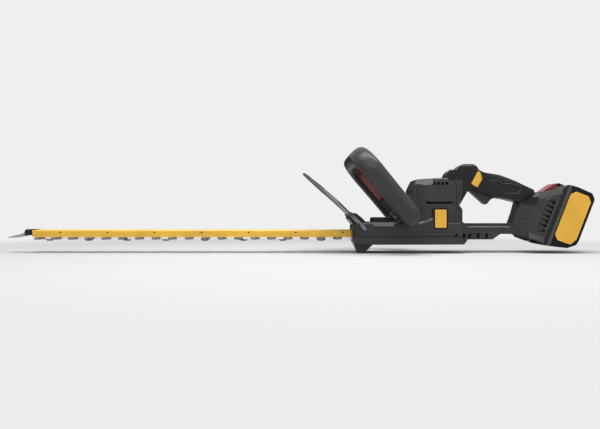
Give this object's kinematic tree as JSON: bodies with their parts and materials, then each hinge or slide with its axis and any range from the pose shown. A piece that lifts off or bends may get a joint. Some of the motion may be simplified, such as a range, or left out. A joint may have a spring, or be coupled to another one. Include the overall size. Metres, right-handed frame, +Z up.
{
  "type": "hedge trimmer",
  "caption": "Cordless hedge trimmer: long double-sided blade under a guide bar, hand guard, front loop handle, rear trigger handle and slide-on battery.",
  "frame": {"origin": "centre of the bounding box in X and Y, on the ground plane under the front foot", "axes": "blade points to -X, battery at +X, +Z up, Y = 0 is the plane of symmetry"},
  "size_m": [1.1354, 0.2138, 0.1982],
  "materials": {
    "bar_yellow": "satin",
    "blade_steel": "satin",
    "bright_steel": "satin",
    "nose_steel": "satin",
    "black_screw": "satin",
    "cast_metal": "satin",
    "gear_steel": "satin",
    "motor_steel": "satin",
    "magnet": "matte",
    "rotor_metal": "satin",
    "black_plastic": "matte",
    "grey_plastic": "matte",
    "handle_plastic": "matte",
    "soft_black": "matte",
    "switch_red": "satin",
    "release_red": "satin",
    "guard_clear": "gloss",
    "label_yellow": "satin",
    "insert_yellow": "satin",
    "trigger_grey": "satin",
    "button_grey": "satin",
    "board_green": "satin",
    "switch_black": "matte",
    "spring_steel": "gloss",
    "cell_blue": "satin",
    "holder_white": "matte",
    "pack_plastic": "matte"
  },
  "bodies": {
    "body": {"guide_bar": "bar_yellow", "bar_end_cap": "black_plastic", "nose_plate": "nose_steel", "nose_rivet": "bright_steel", "blade_bushes": "bright_steel", "blade_washers": "bright_steel", "blade_screws": "black_screw", "blade_nuts": "bright_steel", "bar_screws": "black_screw", "gear_case": "cast_metal", "gear_plate": "bright_steel", "gear_bearings": "bright_steel", "motor_can": "motor_steel", "motor_magnets": "magnet", "motor_end_cap": "black_plastic", "motor_bearings": "bright_steel", "housing_left": "grey_plastic", "housing_right": "grey_plastic", "housing_screws": "black_screw", "bottom_cover": "grey_plastic", "bottom_screws": "black_screw", "top_pad": "soft_black", "handle_front_shell": "handle_plastic", "handle_rear_shell": "handle_plastic", "front_switch_springs": "spring_steel", "front_microswitch": "switch_black", "handle_screws": "black_screw", "hand_guard": "guard_clear", "guard_bracket": "black_plastic", "guard_screws": "black_screw", "rear_grip_left": "soft_black", "rear_grip_right": "soft_black", "grip_inserts": "insert_yellow", "side_plates": "insert_yellow", "trigger_pin": "bright_steel", "trigger_spring": "spring_steel", "trigger_switch": "switch_black", "lock_spring": "spring_steel", "control_board": "board_green", "terminal_block": "switch_black", "release_pin": "bright_steel"},
    "upper_blade_body": {"upper_blade": "blade_steel"},
    "lower_blade_body": {"lower_blade": "blade_steel"},
    "drive": {"drive_gear": "gear_steel", "crankshaft": "gear_steel"},
    "rotor": {"motor_rotor": "rotor_metal", "motor_pinion": "gear_steel", "cooling_fan": "black_plastic"},
    "front_switch": {"front_switch_bar": "switch_red"},
    "trigger_body": {"trigger": "trigger_grey"},
    "lock": {"lock_button": "button_grey"},
    "release": {"release_button": "release_red"},
    "battery": {"battery_case": "pack_plastic", "battery_cover": "black_plastic", "battery_cells": "cell_blue", "cell_holder": "holder_white", "battery_board": "board_green", "battery_labels": "label_yellow", "battery_screws": "bright_steel"}
  },
  "joints": [
    {"name": "upper_blade_slide", "type": "slide", "parent": "body", "child": "upper_blade_body", "axis": [1, 0, 0], "range_m": [-0.008, 0.008]},
    {"name": "lower_blade_slide", "type": "slide", "parent": "body", "child": "lower_blade_body", "axis": [1, 0, 0], "range_m": [-0.008, 0.008]},
    {"name": "drive_gear_spin", "type": "hinge", "parent": "body", "child": "drive", "pos_m": [0.214, 0, 0.045], "axis": [0, 0, 1], "continuous": true},
    {"name": "rotor_spin", "type": "hinge", "parent": "body", "child": "rotor", "pos_m": [0.249, 0, 0.09], "axis": [0, 0, 1], "continuous": true},
    {"name": "front_switch_press", "type": "slide", "parent": "body", "child": "front_switch", "axis": [-0.6494, 0, 0.7604], "range_m": [0, 0.004], "stiffness_N_per_m": 1200, "springref_m": -0.002},
    {"name": "trigger_pull", "type": "hinge", "parent": "body", "child": "trigger_body", "pos_m": [0.347, 0, 0.129], "axis": [0, -1, 0], "range_deg": [0, 9], "stiffness_Nm_per_rad": 1.2, "springref_deg": -8.59},
    {"name": "lock_button_press", "type": "slide", "parent": "body", "child": "lock", "axis": [0, 0, -1], "range_m": [0, 0.0022], "stiffness_N_per_m": 500, "springref_m": -0.002, "deforming": ["lock_spring"]},
    {"name": "battery_slide", "type": "slide", "parent": "body", "child": "battery", "axis": [0.3616, 0, 0.9323], "range_m": [0, 0.095]},
    {"name": "battery_release_press", "type": "hinge", "parent": "body", "child": "release", "pos_m": [0.48743, 0, 0.11617], "axis": [0, -1, 0], "range_deg": [0, 5], "stiffness_Nm_per_rad": 1, "springref_deg": -5.73}
  ],
  "couplings": [
    {"joint": "lower_blade_slide", "follows": "upper_blade_slide", "ratio": -1},
    {"joint": "rotor_spin", "follows": "drive_gear_spin", "ratio": -6}
  ]
}
